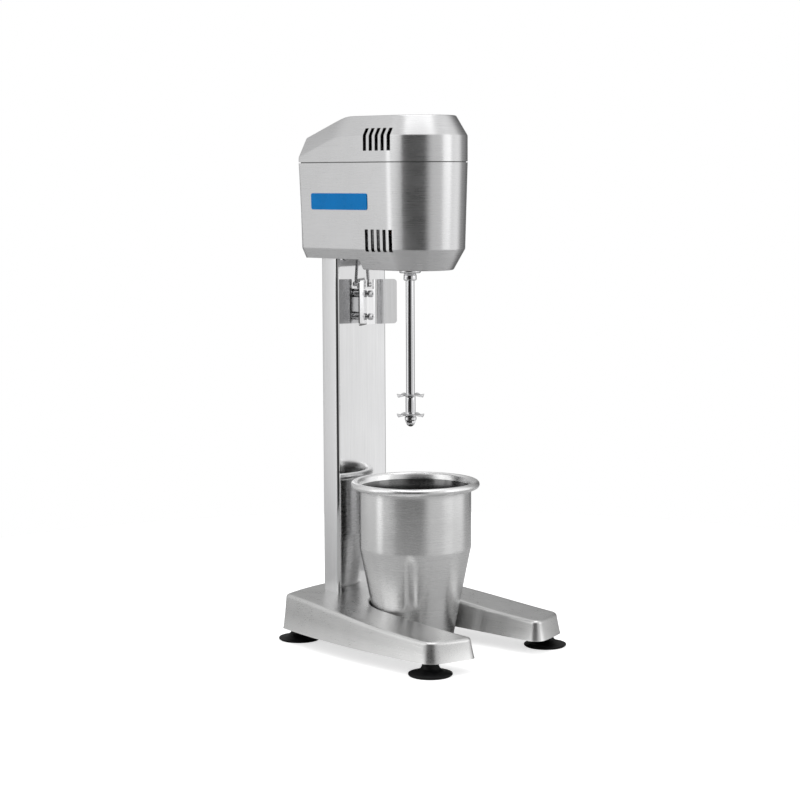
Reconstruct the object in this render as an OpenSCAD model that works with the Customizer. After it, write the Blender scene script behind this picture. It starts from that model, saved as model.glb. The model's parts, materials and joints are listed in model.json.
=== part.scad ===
// Single-spindle milkshake mixer: a cast U-shaped base on four rubber feet, a rectangular
// column, a motor head, an agitator on a long spindle, and a loose mixing cup.
// The cup stands on the table in the pocket of the base. In use it is lifted and hung by its
// rim on the V-shaped bracket, where the rim pushes back a lever that starts the motor.
// Millimetres. The origin is on the table, below the spindle. +Z is up, the front faces -Y.

/* [Base] */
// Height of the underside of the casting above the table
base_clear = 12.6; // [10:0.2:16]
// Height of the top of the casting at the back
base_rear_top = 45; // [38:1:56]
// Height of the top of the casting at the front ends of the legs
base_front_top = 30.5; // [24:0.5:36]
// Largest half width of the base
base_half_w = 92; // [76:1:112]
// Distance from the spindle to the furthest point at the back
base_rear = 108; // [104:1:130]
// Distance from the spindle to the front ends of the legs
base_front = 124; // [104:1:150]
// Thickness of the side walls of the casting
base_wall = 4; // [3:0.5:6]
// Thickness of the top of the casting
base_top_t = 5; // [3:0.5:8]
// Half width of the gap between the legs
leg_gap_half = 38.9; // [34:0.1:44]
// Clearance between the cup and the round pocket in the base, at the top of the casting
pocket_clear = 1.2; // [0.8:0.1:6]

/* [Feet] */
// Radius of the flat rubber disc of a foot
foot_r = 19.5; // [16:0.5:24]
// Distance from a front foot to the centre line
foot_front_x = 77.4; // [60:0.2:90]
// Distance from the front feet to the spindle
foot_front_y = 96.4; // [80:0.2:120]
// Distance from a rear foot to the centre line
foot_rear_x = 57; // [45:0.5:70]
// Distance from the rear feet to the spindle
foot_rear_y = 90; // [80:1:100]

/* [Column] */
// Width of the column
column_w = 64.5; // [50:0.5:70]
// Depth of the column, front to back
column_d = 21.5; // [18:0.5:26]
// Distance from the spindle to the front face of the column
column_front = 61.8; // [59:0.2:70]
// Wall of the column tube
column_wall = 1.5; // [1:0.1:2.5]
// Radius of the outer corners of the tube
column_corner = 3; // [2:0.5:5]

/* [Head] */
// Height of the top of the head
head_top = 485; // [470:1:520]
// Height of the joint between the lower shell and the top cover
seam_z = 443; // [436:0.5:450]
// Height of the floor at the front of the head
head_floor = 346.5; // [344:0.5:350]
// How much higher the floor is behind the motor
floor_step = 9.5; // [6:0.5:12]
// Half width of the head, and the radius of its round front
head_half_w = 44; // [42:0.5:52]
// How far the centre of the round front lies in front of the spindle
head_nose = 11.5; // [4:0.5:14]
// Distance from the spindle to the back of the head
head_back = 100.5; // [92:0.5:110]
// Sheet thickness of the shell and the cover
shell_t = 1.2; // [0.8:0.1:2]
// Number of ventilation slots in each group
vent_count = 5; // [3:1:6]
// Distance between ventilation slots
vent_pitch = 7.4; // [6:0.1:7.6]
// Width of a ventilation slot
vent_w = 4; // [1.6:0.1:4.4]

/* [Cup] */
// Height of the cup to the top of its rim
cup_h = 153.4; // [130:0.2:165]
// Outer radius of the straight upper part of the cup
cup_r = 51.3; // [47:0.1:53]
// Outer radius of the bottom of the cup
cup_foot_r = 33.5; // [28:0.5:38]
// Height at which the straight wall turns into the cone
cup_knee = 92; // [80:1:110]
// Sheet thickness of the cup
cup_t = 0.8; // [0.6:0.1:1.2]
// Radius of the rolled rim
rim_bead = 3.4; // [2.5:0.1:4]
// Distance from the spindle to the centre of the standing cup
cup_offset = 5.6; // [3:0.1:9]

/* [Bracket] */
// Height of the bracket's upper edge
bracket_top = 335.7; // [325:0.1:340]
// Height of the bracket plate
bracket_h = 41.4; // [30:0.2:55]
// Angle between a wing and the face of the column
wing_angle = 28.5; // [15:0.5:32]
// Length of a wing
wing_len = 21.8; // [18:0.2:26]
// Half width of the middle strip of the bracket
web_half = 5.3; // [5.3:0.1:7]
// Sheet thickness of the bracket
bracket_t = 1.2; // [1:0.1:2]
// Gap between the bracket and the column
bracket_gap = 9.8; // [7.5:0.1:11]

/* [Agitator] */
// Radius of the agitator shaft and the motor shaft
shaft_r = 4; // [3:0.1:5]
// Radius of an agitator disc
disc_r = 12.7; // [10:0.1:16]
// Height of the lower agitator disc above the table
disc_z = 213.2; // [200:0.1:225]
// Distance between the two agitator discs
disc_pitch = 18.2; // [12:0.1:24]

/* [Motor] */
// Outer radius of the stator
stator_r = 35; // [32:0.5:36]
// Height of the stator stack
stator_h = 30; // [22:1:32]
// Radial gap between the armature and the poles
air_gap = 0.6; // [0.4:0.1:1]

/* [Hidden] */

// Colours
cast_grey = [0.70, 0.71, 0.71];
steel_grey = [0.74, 0.75, 0.76];
bright_grey = [0.84, 0.85, 0.86];
rubber_black = [0.05, 0.05, 0.05];
plastic_black = [0.10, 0.10, 0.11];
label_blue = [0.0, 0.45, 0.73];
copper = [0.72, 0.40, 0.20];
lamination = [0.42, 0.43, 0.45];

// Clearances
fit = 0.3;          // between pieces that are only seated together
run = 0.05;         // radial clearance of a shaft or pin that turns
touch = 0.1;        // radial clearance of a screw, stud or sleeve in its hole
over = 1;           // how far a cutting shape runs past the face it cuts
skin = 0.01;        // thickness of the slices that a blended shape spans
round_fn = 96;      // segments of a full circle in an outline
$fn = round_fn;

// Base outline: shallow arcs joined by corner arcs
side_arc = 700;     // radius of a side
side_arc_y = -60;   // where a side is widest
rear_arc = 240;     // radius of the back edge
front_arc = 255;    // radius of the front ends
rear_corner = 9;    // radius of a rear corner
front_corner = 16;  // radius of the outer corner of a leg
inner_corner = 10;  // radius of the inner corner of a leg
neck_corner = 15;   // radius where the pocket runs into the gap between the legs
arc_steps = 10;     // points along each arc of the outline
slope_start = -135; // where the top begins to rise, from front to back
slope_end = 105;    // where the top is level again
slope_steps = 20;   // points along the rise

// Cup shape
cup_taper = (cup_r - cup_foot_r) / cup_knee;
pocket_r = cup_foot_r + cup_taper * base_rear_top + pocket_clear;
bead_r = cup_r + 1 + rim_bead;       // radius of the rolled rim's centre line
bead_z = cup_h - rim_bead;

// Head shape
wall_taper = 2.3;   // how much the lower shell narrows between the seam and the lower crease
low_crease = 365.5; // height of the crease above the lower bevel
low_bevel = 10.6;   // how far the lower bevel comes in
top_crease = 467;   // height of the crease below the top bevel
top_bevel = 10.5;   // how far the top bevel comes in
slope_y = 50;       // where the flat top turns into the rear slope
rear_slope = 20.1;  // fall of the rear part of the cover, in degrees
seam_gap = 0.4;     // open joint between shell and cover
rear_floor = head_floor + floor_step;
step_y = 29;        // where the floor steps up
vent_y = 13.7;      // place of the rearmost slot
lip_h = 8;          // depth of the cover's lip inside the shell
lip_t = 1;

// Column and base joint
column_back = column_front + column_d;
column_mid = column_front + column_d / 2;
column_seat = 3;    // how deep the column stands in the casting
column_bottom = base_top_at(column_front) - column_seat;
column_top = 398;
block_h = 24;
column_bore_w = column_w - 2 * column_wall;
column_bore_d = column_d - 2 * column_wall;
foot_screw_x = 12;
foot_screw_r = 2.5;

// Chassis and motor
chassis_z = rear_floor + shell_t;
chassis_t = 3;
chassis_top = chassis_z + chassis_t;
chassis_inset = 9.5;  // how far the chassis plate stays inside the head
flange_top = column_top - 4;
chassis_screw_x = 22;
bracket_plate_t = 5;
bearing_r = 11;
bearing_h = 7;
low_bearing_z = chassis_top + 0.8;
fan_z = low_bearing_z + bearing_h + 2.5;
fan_h = 8;
stator_z = fan_z + fan_h + 5;
stator_top = stator_z + stator_h;
stator_ring = 8;
armature_r = 20;
pole_half = 12;
bolt_x = stator_r - stator_ring / 2;
bolt_r = 2;
commutator_r = 10;
commutator_z = stator_top + 8;
commutator_h = 13;
top_plate_z = commutator_z + commutator_h + 2;
high_bearing_z = top_plate_z + 1;
shaft_top = high_bearing_z + bearing_h + 2;

// Spindle
boss_flange_t = 3.3;
boss_flange_r = 10;
boss_r = 8;
boss_bore_r = shaft_r + 0.6;
collar_r = 6;
collar_top = head_floor - boss_flange_t - fit;
collar_h = 6.5;
shaft_joint_z = collar_top - collar_h / 2;
stub_r = 3;
disc_t = 0.8;
ridge_r = 0.9;
ridge_count = 6;
washer_r = 5.4;
washer_h = 3.2;
nut_r = 4.9;
nut_hex_h = 2.6;
washer_top = disc_z - ridge_r;
nut_top = washer_top - washer_h;
stub_bottom = nut_top - nut_hex_h;

// Cup-sensing lever
pivot_y = 57;
pivot_z = 366;
pin_r = 2;
lever_hub_r = 4;
lever_hub_half = 2.5;
lever_half = 2;
lever_rod_r = 1.5;
lever_t = 1.6;
lever_tip_y = 53;
lever_tip_z = 331;
tip_r = 2.2;
arm_top = 384;
plunger_z = 381;
plunger_r = 1.5;
arm_face = pivot_y - 3;
plunger_front = arm_face - fit;
ear_half = 6;
ear_t = 1.5;
ear_back = 4.2;
switch_front = plunger_front - 2.4;
switch_t = 5.6;
switch_back = switch_front - switch_t;
switch_half = 10;
switch_low = 373;
switch_high = 390;

// Bracket screws
bracket_face = column_front - bracket_gap - bracket_t;
bracket_low = bracket_top - bracket_h;
web_notch = 9;
bracket_screw_r = 2;
bracket_screw_z = [bracket_low + 7, bracket_low + 28.2];

// Cable gland
gland_z = 378;
gland_r = 6;
gland_bore = 3.5;
gland_flange_r = 9;

// Where two circles cross, on the side that s picks
function meet(c1, r1, c2, r2, s) =
    let (d = c2 - c1, gap = norm(d), along = (r1 * r1 - r2 * r2 + gap * gap) / (2 * gap))
    let (up = sqrt(r1 * r1 - along * along), u = d / gap)
    c1 + u * along + s * up * [-u[1], u[0]];

function angle_of(v) = atan2(v[1], v[0]);

function arc(c, r, from, to) =
    [for (i = [0:arc_steps]) let (a = from + (to - from) * i / arc_steps) c + r * [cos(a), sin(a)]];

function mirrored(points) = [for (i = [len(points) - 1:-1:0]) [-points[i][0], points[i][1]]];

// Height of the casting's top at a distance y along the base
function base_top_at(y) =
    let (t = min(1, max(0, (y - slope_start) / (slope_end - slope_start))))
    base_front_top + (base_rear_top - base_front_top) * (1 - cos(180 * t)) / 2;

// Right half of the base outline, from the middle of the back to the middle of the pocket.
// inset moves every edge into the casting.
function half_base(inset) =
    let (rear_c = [0, base_rear - rear_arc], side_c = [base_half_w - side_arc, side_arc_y])
    let (front_c = [0, front_arc - base_front], pocket_c = [0, -cup_offset])
    let (rc = meet(rear_c, rear_arc - rear_corner, side_c, side_arc - rear_corner, -1))
    let (fc = meet(side_c, side_arc - front_corner, front_c, front_arc - front_corner, -1))
    let (ix = leg_gap_half + inner_corner, ir = front_arc - inner_corner)
    let (ic = [ix, front_c[1] - sqrt(ir * ir - ix * ix)])
    let (nx = leg_gap_half + neck_corner, nr = pocket_r + neck_corner)
    let (nc = [nx, pocket_c[1] - sqrt(nr * nr - nx * nx)])
    concat(
        arc(rear_c, rear_arc - inset, 90, angle_of(rc - rear_c)),
        arc(rc, rear_corner - inset, angle_of(rc - rear_c), angle_of(rc - side_c)),
        arc(side_c, side_arc - inset, angle_of(rc - side_c), angle_of(fc - side_c)),
        arc(fc, front_corner - inset, angle_of(fc - side_c), angle_of(fc - front_c)),
        arc(front_c, front_arc - inset, angle_of(fc - front_c), angle_of(ic - front_c)),
        arc(ic, inner_corner - inset, angle_of(ic - front_c), -180),
        arc(nc, neck_corner - inset, 180, angle_of(pocket_c - nc)),
        arc(pocket_c, pocket_r + inset, angle_of(nc - pocket_c), 90)
    );

module base_outline(inset) {
    half = half_base(inset);
    polygon(concat(half, mirrored(half)));
}

// Solid under the casting's sloping top, lowered by drop
module under_top(drop) {
    reach = base_half_w + over;
    run_y = base_rear + base_front + 2 * over;
    tops = [
        for (i = [0:slope_steps])
            let (y = base_rear + over - run_y * i / slope_steps) [y, base_top_at(y) - drop]
    ];
    rotate([90, 0, 90])
        translate([0, 0, -reach])
            linear_extrude(2 * reach)
                polygon(concat(tops, [[-base_front - over, 0], [base_rear + over, 0]]));
}

module at_feet() {
    for (side = [-1, 1]) {
        translate([side * foot_front_x, -foot_front_y, 0]) children();
        translate([side * foot_rear_x, foot_rear_y, 0]) children();
    }
}

module rounded_plate(w, d, r, h) {
    linear_extrude(h) {
        square([w - 2 * r, d], center = true);
        square([w, d - 2 * r], center = true);
        for (x = [-1, 1], y = [-1, 1])
            translate([x * (w / 2 - r), y * (d / 2 - r)]) circle(r);
    }
}

// A ring or sleeve standing on z = 0
module sleeve(outer, bore, h) {
    difference() {
        cylinder(h = h, r = outer);
        translate([0, 0, -over]) cylinder(h = h + 2 * over, r = bore);
    }
}

// A pan-head screw whose head stands on z = 0 and whose shank runs down
module pan_screw(shank_r, length, head_r, head_h) {
    translate([0, 0, -length]) cylinder(h = length, r = shank_r);
    difference() {
        intersection() {
            cylinder(h = head_h, r = head_r);
            translate([0, 0, head_h - 2 * head_r]) sphere(2 * head_r);
        }
        slot_w = head_r / 4;
        for (turn = [0, 90])
            rotate([0, 0, turn])
                translate([-head_r / 2, -slot_w / 2, head_h / 2]) cube([head_r, slot_w, head_h]);
    }
}

/* ---- base ---- */

stud_r = 3;
stud_len = 14;
stud_in_foot = 8;
foot_boss_r = 8;
rib_x = 22;
rib_t = 3;

module base_casting() {
    floor_z = base_clear;
    boss_len = stud_len - stud_in_foot + over;
    color(cast_grey)
        difference() {
            intersection() {
                translate([0, 0, floor_z]) linear_extrude(base_rear_top) base_outline(0);
                under_top(0);
            }
            difference() {
                intersection() {
                    translate([0, 0, floor_z - over])
                        linear_extrude(base_rear_top) base_outline(base_wall);
                    under_top(base_top_t);
                }
                at_feet() translate([0, 0, floor_z]) cylinder(h = base_rear_top, r = foot_boss_r);
                for (x = [-foot_rear_x, -rib_x, rib_x, foot_rear_x])
                    translate([x - rib_t / 2, 0, floor_z + 2]) cube([rib_t, base_rear, base_rear_top]);
                for (side = [-1, 1])
                    translate([side * foot_screw_x, column_mid, base_top_at(column_front) - 12])
                        cylinder(h = base_rear_top, r = 2.5 * foot_screw_r);
            }
            at_feet() translate([0, 0, floor_z - over]) cylinder(h = boss_len + over, r = stud_r + touch);
            translate([0, column_mid, column_bottom])
                rounded_plate(column_w + 2 * touch, column_d + 2 * touch, column_corner + touch, base_rear_top);
            for (side = [-1, 1])
                translate([side * foot_screw_x, column_mid, 0])
                    cylinder(h = base_rear_top, r = foot_screw_r + touch);
        }
}

// Suction foot: a flexible disc, a cone and a neck under the casting
module foot() {
    color(rubber_black)
        difference() {
            rotate_extrude()
                polygon([
                    [0, 2.2], [0.55 * foot_r, 1.6], [0.8 * foot_r, 0], [0.95 * foot_r, 0],
                    [foot_r, 0.9], [foot_r, 2], [0.6 * foot_r, 4.6], [0.42 * foot_r, 7.4],
                    [0.38 * foot_r, base_clear], [0, base_clear]
                ]);
            translate([0, 0, base_clear - stud_in_foot]) cylinder(h = stud_len, r = stud_r + touch);
        }
}

module foot_at(side, x, y) { translate([side * x, y, 0]) foot(); }

module foot_studs() {
    color(bright_grey)
        at_feet() translate([0, 0, base_clear - stud_in_foot + touch])
            cylinder(h = stud_len - touch, r = stud_r);
}

/* ---- column ---- */

module column_tube() {
    color(steel_grey)
        difference() {
            translate([0, column_mid, column_bottom])
                rounded_plate(column_w, column_d, column_corner, column_top - column_bottom);
            translate([0, column_mid, column_bottom - over])
                rounded_plate(column_bore_w, column_bore_d, column_corner - column_wall,
                    column_top - column_bottom + 2 * over);
            for (z = bracket_screw_z)
                translate([0, column_front - over, z])
                    rotate([-90, 0, 0]) cylinder(h = column_wall + 2 * over, r = bracket_screw_r + touch);
            at_chassis_screws() rotate([-90, 0, 0])
                cylinder(h = column_wall + over, r = bracket_screw_r + touch);
        }
}

module column_block(z, screws_below) {
    translate([0, column_mid, z])
        difference() {
            rounded_plate(column_bore_w - fit, column_bore_d - fit, column_corner - column_wall, block_h);
            if (screws_below)
                for (side = [-1, 1])
                    translate([side * foot_screw_x, 0, -over])
                        cylinder(h = block_h, r = foot_screw_r + touch);
        }
}

module column_foot_block() { color(cast_grey) column_block(column_bottom, true); }

module column_foot_screws() {
    seat = base_top_at(column_front) - 12;
    color(bright_grey)
        for (side = [-1, 1])
            translate([side * foot_screw_x, column_mid, seat])
                mirror([0, 0, 1]) pan_screw(foot_screw_r, column_bottom + 18 - seat, 4.6, 3);
}

module column_top_block() {
    color(cast_grey)
        difference() {
            column_block(column_top - block_h - 2, false);
            at_chassis_screws() rotate([-90, 0, 0])
                cylinder(h = column_wall + 10, r = bracket_screw_r + touch);
        }
}

/* ---- head structure ---- */

module at_chassis_screws() {
    for (side = [-1, 1], z = [column_top - 20, column_top - 10])
        translate([side * chassis_screw_x, column_front - over, z]) children();
}

shell_screw_x = 30;
shell_screw_y = 55;

module head_chassis() {
    flange_half = column_w / 2 - 2;
    slot_half = ear_half + ear_t + 3;
    color(steel_grey)
        difference() {
            union() {
                translate([0, 0, chassis_z]) linear_extrude(chassis_t) head_plan(chassis_inset, column_front);
                translate([-flange_half, column_front - chassis_t, chassis_z])
                    cube([2 * flange_half, chassis_t, flange_top - chassis_z]);
            }
            translate([0, 0, chassis_z - over]) cylinder(h = chassis_t + 2 * over, r = bearing_r + 2);
            translate([-slot_half, pivot_y - 5, chassis_z - over])
                cube([2 * slot_half, column_front - pivot_y + 6, pivot_z - chassis_z + 8]);
            for (side = [-1, 1])
                translate([side * shell_screw_x, shell_screw_y, chassis_z - over])
                    cylinder(h = chassis_t + 2 * over, r = bracket_screw_r + touch);
            at_chassis_screws() translate([0, -chassis_t, 0]) rotate([-90, 0, 0])
                cylinder(h = chassis_t + 2 * over, r = bracket_screw_r + touch);
            for (side = [-1, 1])
                translate([side * bolt_x, 0, chassis_z - over])
                    cylinder(h = chassis_t + 2 * over, r = bolt_r + touch);
        }
}

module chassis_screws() {
    color(bright_grey)
        at_chassis_screws() translate([0, over - chassis_t, 0])
            rotate([90, 0, 0]) pan_screw(bracket_screw_r, chassis_t + column_wall + 6, 3.6, 2.4);
}

// Plan of the head: round at the front, square at the back, cut off at y_back
module head_plan(inset, y_back) {
    r = head_half_w - inset;
    back = min(y_back, head_back - inset / 2);
    difference() {
        union() {
            translate([0, -head_nose]) circle(r);
            translate([-r, -head_nose]) square([2 * r, back + head_nose]);
        }
        translate([-2 * r, back]) square([4 * r, 4 * r]);
    }
}

module slice(z, inset, y_back) { translate([0, 0, z]) linear_extrude(skin) head_plan(inset, y_back); }

// Outer form of the lower shell, made smaller by t on every side
module lower_form(t) {
    floor_z = head_floor + t;
    floor_inset = wall_taper + low_bevel * (low_crease - floor_z) / (low_crease - head_floor);
    difference() {
        union() {
            hull() {
                slice(seam_z, t, head_back - t);
                slice(low_crease, wall_taper + t, head_back - wall_taper - t);
            }
            hull() {
                slice(low_crease, wall_taper + t, head_back - wall_taper - t);
                slice(floor_z, floor_inset + t, head_back - wall_taper - t);
            }
        }
        translate([-head_half_w, step_y - t, 0])
            cube([2 * head_half_w, head_back, rear_floor + t]);
    }
}

module side_slots(low, high) {
    for (i = [0:vent_count - 1])
        translate([-head_half_w - over, vent_y - i * vent_pitch - vent_w / 2, low])
            cube([2 * head_half_w + 2 * over, vent_w, high - low]);
}

module head_lower_shell() {
    color(steel_grey)
        difference() {
            lower_form(0);
            lower_form(shell_t);
            translate([0, 0, seam_z - skin]) cylinder(h = over, r = 2 * head_back);
            side_slots(low_crease - 2, low_crease + 18);
            translate([0, 0, head_floor - over]) cylinder(h = 2 * floor_step, r = boss_r + touch);
            translate([0, column_mid, rear_floor - over])
                rounded_plate(column_w + 2 * fit, column_d + 2 * fit, column_corner + fit, 2 * over + shell_t);
            translate([-3.5, lever_tip_y - 5, rear_floor - over])
                cube([7, column_front - lever_tip_y + 5, 2 * over + shell_t]);
            for (side = [-1, 1])
                translate([side * shell_screw_x, shell_screw_y, rear_floor - over])
                    cylinder(h = 2 * over + shell_t, r = bracket_screw_r + touch);
            at_cover_screws() cylinder(h = 3 * shell_t, r = cover_screw_r + touch, center = true);
            translate([0, head_back, gland_z]) rotate([90, 0, 0])
                cylinder(h = 8 * shell_t, r = gland_r + touch, center = true);
        }
}

module shell_screws() {
    color(bright_grey)
        for (side = [-1, 1])
            translate([side * shell_screw_x, shell_screw_y, rear_floor])
                mirror([0, 0, 1]) pan_screw(bracket_screw_r, shell_t + chassis_t + 4, 3.6, 2.2);
}

cover_screw_r = 1.8;
cover_screw_x = 28;

module at_cover_screws() {
    for (side = [-1, 1])
        translate([side * cover_screw_x, head_back, seam_z - lip_h / 2]) rotate([-90, 0, 0]) children();
}

// Outer form of the cover, made smaller by t on every side: the head's plan with a bevelled
// edge, cut by the same bevelled section tilted down towards the back
module cover_form(t, bottom) {
    rise = head_top - top_crease;
    edge_lean = top_bevel / rise;
    top_in = top_bevel + t * (sqrt(1 + edge_lean * edge_lean) - edge_lean);
    top = head_top - t;
    spread = 5;
    intersection() {
        hull() {
            slice(bottom, t, head_back - t);
            slice(top_crease, t, head_back - t);
            slice(top - skin, top_in, head_back - t);
        }
        translate([0, slope_y, head_top]) rotate([-rear_slope, 0, 0])
            rotate([90, 0, 0]) linear_extrude(4 * head_back, center = true)
                polygon([
                    [-head_half_w - spread, -head_back],
                    [-head_half_w - spread, -t - (top_in + spread) / edge_lean],
                    [top_in - head_half_w, -t], [head_half_w - top_in, -t],
                    [head_half_w + spread, -t - (top_in + spread) / edge_lean],
                    [head_half_w + spread, -head_back]
                ]);
    }
}

module head_top_cover() {
    bottom = seam_z + seam_gap;
    lip = shell_t + fit;
    color(steel_grey)
        difference() {
            union() {
                cover_form(0, bottom);
                translate([0, 0, seam_z - lip_h])
                    linear_extrude(lip_h + 2) head_plan(lip, head_back - lip - wall_taper / 4);
            }
            translate([0, 0, skin]) cover_form(shell_t, bottom + 3);
            translate([0, 0, seam_z - lip_h - over])
                linear_extrude(lip_h + 6) head_plan(lip + lip_t, head_back - lip - lip_t - wall_taper / 4);
            side_slots(top_crease - 13.6, top_crease + 6.4);
            at_cover_screws() cylinder(h = 12, r = cover_screw_r + touch, center = true);
        }
}

module cover_screws() {
    seat = wall_taper * lip_h / 2 / (seam_z - low_crease);
    color(bright_grey)
        at_cover_screws() translate([0, 0, fit - seat]) pan_screw(cover_screw_r, 5.5, 3.4, 2);
}

module label_plate() {
    plate_w = 71.7;
    plate_h = 14.8;
    plate_t = 0.6;
    plate_low = 400.8;
    plate_back = 83.6;
    tilt = atan(wall_taper / (seam_z - low_crease));
    wall_in = wall_taper * (seam_z - plate_low) / (seam_z - low_crease);
    color(label_blue)
        translate([wall_in - head_half_w, plate_back - plate_w / 2, plate_low])
            rotate([0, -tilt, 0])
                translate([-plate_t / 2 - 0.02, 0, plate_h / 2])
                    rotate([90, 0, 90])
                        translate([0, 0, -plate_t / 2]) rounded_plate(plate_w, plate_h, 1.8, plate_t);
}

/* ---- cup bracket ---- */

module cup_bracket() {
    color(steel_grey)
        difference() {
            union() {
                translate([-web_half, bracket_face, bracket_low]) cube([2 * web_half, bracket_t, bracket_h]);
                for (side = [0, 1])
                    mirror([side, 0, 0])
                        translate([web_half, bracket_face, bracket_low])
                            rotate([0, 0, -wing_angle]) cube([wing_len, bracket_t, bracket_h]);
            }
            translate([-web_half + 1, bracket_face - over, bracket_top - web_notch])
                cube([2 * web_half - 2, bracket_t + 2 * over, web_notch + over]);
            for (z = bracket_screw_z)
                translate([0, bracket_face - over, z]) rotate([-90, 0, 0])
                    cylinder(h = bracket_t + 2 * over, r = bracket_screw_r + touch);
        }
}

module bracket_spacers() {
    color(bright_grey)
        for (z = bracket_screw_z)
            translate([0, bracket_face + bracket_t, z]) rotate([-90, 0, 0])
                sleeve(4, bracket_screw_r + touch, bracket_gap);
}

module bracket_screws() {
    length = bracket_t + bracket_gap + column_wall + 4;
    color(bright_grey)
        for (z = bracket_screw_z)
            translate([0, bracket_face, z]) rotate([90, 0, 0]) pan_screw(bracket_screw_r, length, 3.2, 2.2);
}

/* ---- cup-sensing lever and switch ---- */

module along_x(half, r) { rotate([0, 90, 0]) cylinder(h = 2 * half, r = r, center = true); }

module lever_bracket() {
    foot_t = 1.5;
    ear_high = pivot_z + 5;
    color(steel_grey)
        difference() {
            union() {
                translate([-ear_half - ear_t, switch_back - foot_t, chassis_top])
                    cube([2 * (ear_half + ear_t), 4.5, foot_t]);
                for (side = [0, 1])
                    mirror([side, 0, 0]) {
                        translate([ear_half, switch_back - foot_t, chassis_top])
                            cube([ear_t, pivot_y + ear_back - switch_back + foot_t, ear_high - chassis_top]);
                    }
                translate([-switch_half - 1, switch_back - foot_t, chassis_top])
                    cube([2 * switch_half + 2, foot_t, switch_high - chassis_top]);
            }
            translate([0, pivot_y, pivot_z]) along_x(2 * ear_half, pin_r + touch);
        }
}

module lever_pivot_pin() {
    color(bright_grey)
        translate([0, pivot_y, pivot_z]) {
            along_x(ear_half + ear_t + 1, pin_r);
            translate([ear_half + ear_t + 1, 0, 0]) along_x(0.8, pin_r + 1);
        }
}

// Torsion coil beside the lever's hub
module lever_return_spring() {
    coil_r = pin_r + 1.1;
    wire = 0.45;
    turns = 4;
    color(bright_grey)
        for (i = [0:turns - 1])
            translate([lever_hub_half + fit + wire + i * 1.6 * wire, pivot_y, pivot_z])
                rotate([0, 90, 0]) rotate_extrude() translate([coil_r, 0]) circle(wire, $fn = 24);
}

module microswitch_body() {
    color(plastic_black)
        difference() {
            translate([-switch_half, switch_back, switch_low])
                cube([2 * switch_half, switch_t, switch_high - switch_low]);
            translate([0, switch_front + over, plunger_z]) rotate([90, 0, 0])
                cylinder(h = switch_t - 1 + over, r = plunger_r + run);
        }
}

module switch_plunger() {
    color("white")
        translate([0, plunger_front, plunger_z]) rotate([90, 0, 0]) cylinder(h = 4.2, r = plunger_r);
}

module cup_lever() {
    fall = [lever_tip_y - pivot_y, lever_tip_z - pivot_z];
    lean = atan2(fall[0], -fall[1]);
    color(bright_grey)
        difference() {
            union() {
                translate([0, pivot_y, pivot_z]) along_x(lever_hub_half, lever_hub_r);
                translate([-lever_half, arm_face, pivot_z]) cube([2 * lever_half, lever_t, arm_top - pivot_z]);
                translate([0, pivot_y, pivot_z]) rotate([lean, 0, 0])
                    translate([0, 0, -norm(fall)]) cylinder(h = norm(fall), r = lever_rod_r);
                translate([0, lever_tip_y, lever_tip_z]) along_x(lever_half, tip_r);
            }
            translate([0, pivot_y, pivot_z]) along_x(2 * lever_hub_half, pin_r + run);
        }
}

/* ---- electrical pieces ---- */

module cable_gland() {
    wall_y = head_back - wall_taper * (seam_z - gland_z) / (seam_z - low_crease);
    color(plastic_black)
        translate([0, wall_y + fit, gland_z]) rotate([-90, 0, 0])
            difference() {
                union() {
                    cylinder(h = 3, r = gland_flange_r);
                    translate([0, 0, -9]) cylinder(h = 9, r = gland_r);
                    cylinder(h = 9, r1 = gland_r + 1.2, r2 = gland_bore + 1.6);
                }
                translate([0, 0, -9 - over]) cylinder(h = 18 + 2 * over, r = gland_bore);
            }
}

module gland_locknut() {
    wall_y = head_back - wall_taper * (seam_z - gland_z) / (seam_z - low_crease);
    color(plastic_black)
        translate([0, wall_y - shell_t - 0.5 - 4, gland_z]) rotate([-90, 0, 0])
            sleeve(gland_flange_r, gland_r + touch, 4);
}

module terminal_block() {
    block_w = 30;
    ways = 3;
    color("ivory")
        difference() {
            translate([-block_w / 2, column_back + 1.6, chassis_z]) cube([block_w, 8, 9]);
            for (i = [0:ways - 1])
                translate([(i - 1) * block_w / ways, column_back + 5.6, chassis_z + 4])
                    cylinder(h = 9, r = 2.2);
        }
}

module suppressor_capacitor() {
    color("gold") translate([-24, 44, chassis_top]) cylinder(h = 26, r = 5.5);
}

/* ---- motor ---- */

module lower_motor_bracket() {
    color(cast_grey)
        difference() {
            union() {
                translate([0, 0, chassis_top]) cylinder(h = bracket_plate_t, r = stator_r);
                translate([0, 0, chassis_top]) cylinder(h = bearing_h + 1.6, r = bearing_r + 3);
                for (side = [-1, 1])
                    translate([side * bolt_x, 0, chassis_top]) cylinder(h = stator_z - chassis_top, r = 3.6);
            }
            translate([0, 0, low_bearing_z]) cylinder(h = bearing_h + over, r = bearing_r + touch);
            translate([0, 0, 0]) cylinder(h = head_top, r = shaft_r + 2);
            for (side = [-1, 1])
                translate([side * bolt_x, 0, 0]) cylinder(h = head_top, r = bolt_r + touch);
        }
}

module upper_motor_bracket() {
    color(cast_grey)
        difference() {
            union() {
                translate([0, 0, top_plate_z]) cylinder(h = 4, r = stator_r);
                translate([0, 0, top_plate_z]) cylinder(h = bearing_h + 2, r = bearing_r + 3);
                for (side = [-1, 1])
                    translate([side * bolt_x, 0, stator_top]) cylinder(h = top_plate_z - stator_top, r = 3.6);
            }
            translate([0, 0, high_bearing_z]) cylinder(h = bearing_h + 2 * over, r = bearing_r + touch);
            cylinder(h = head_top, r = shaft_r + 2);
            for (side = [-1, 1])
                translate([side * bolt_x, 0, 0]) cylinder(h = head_top, r = bolt_r + touch);
        }
}

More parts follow.
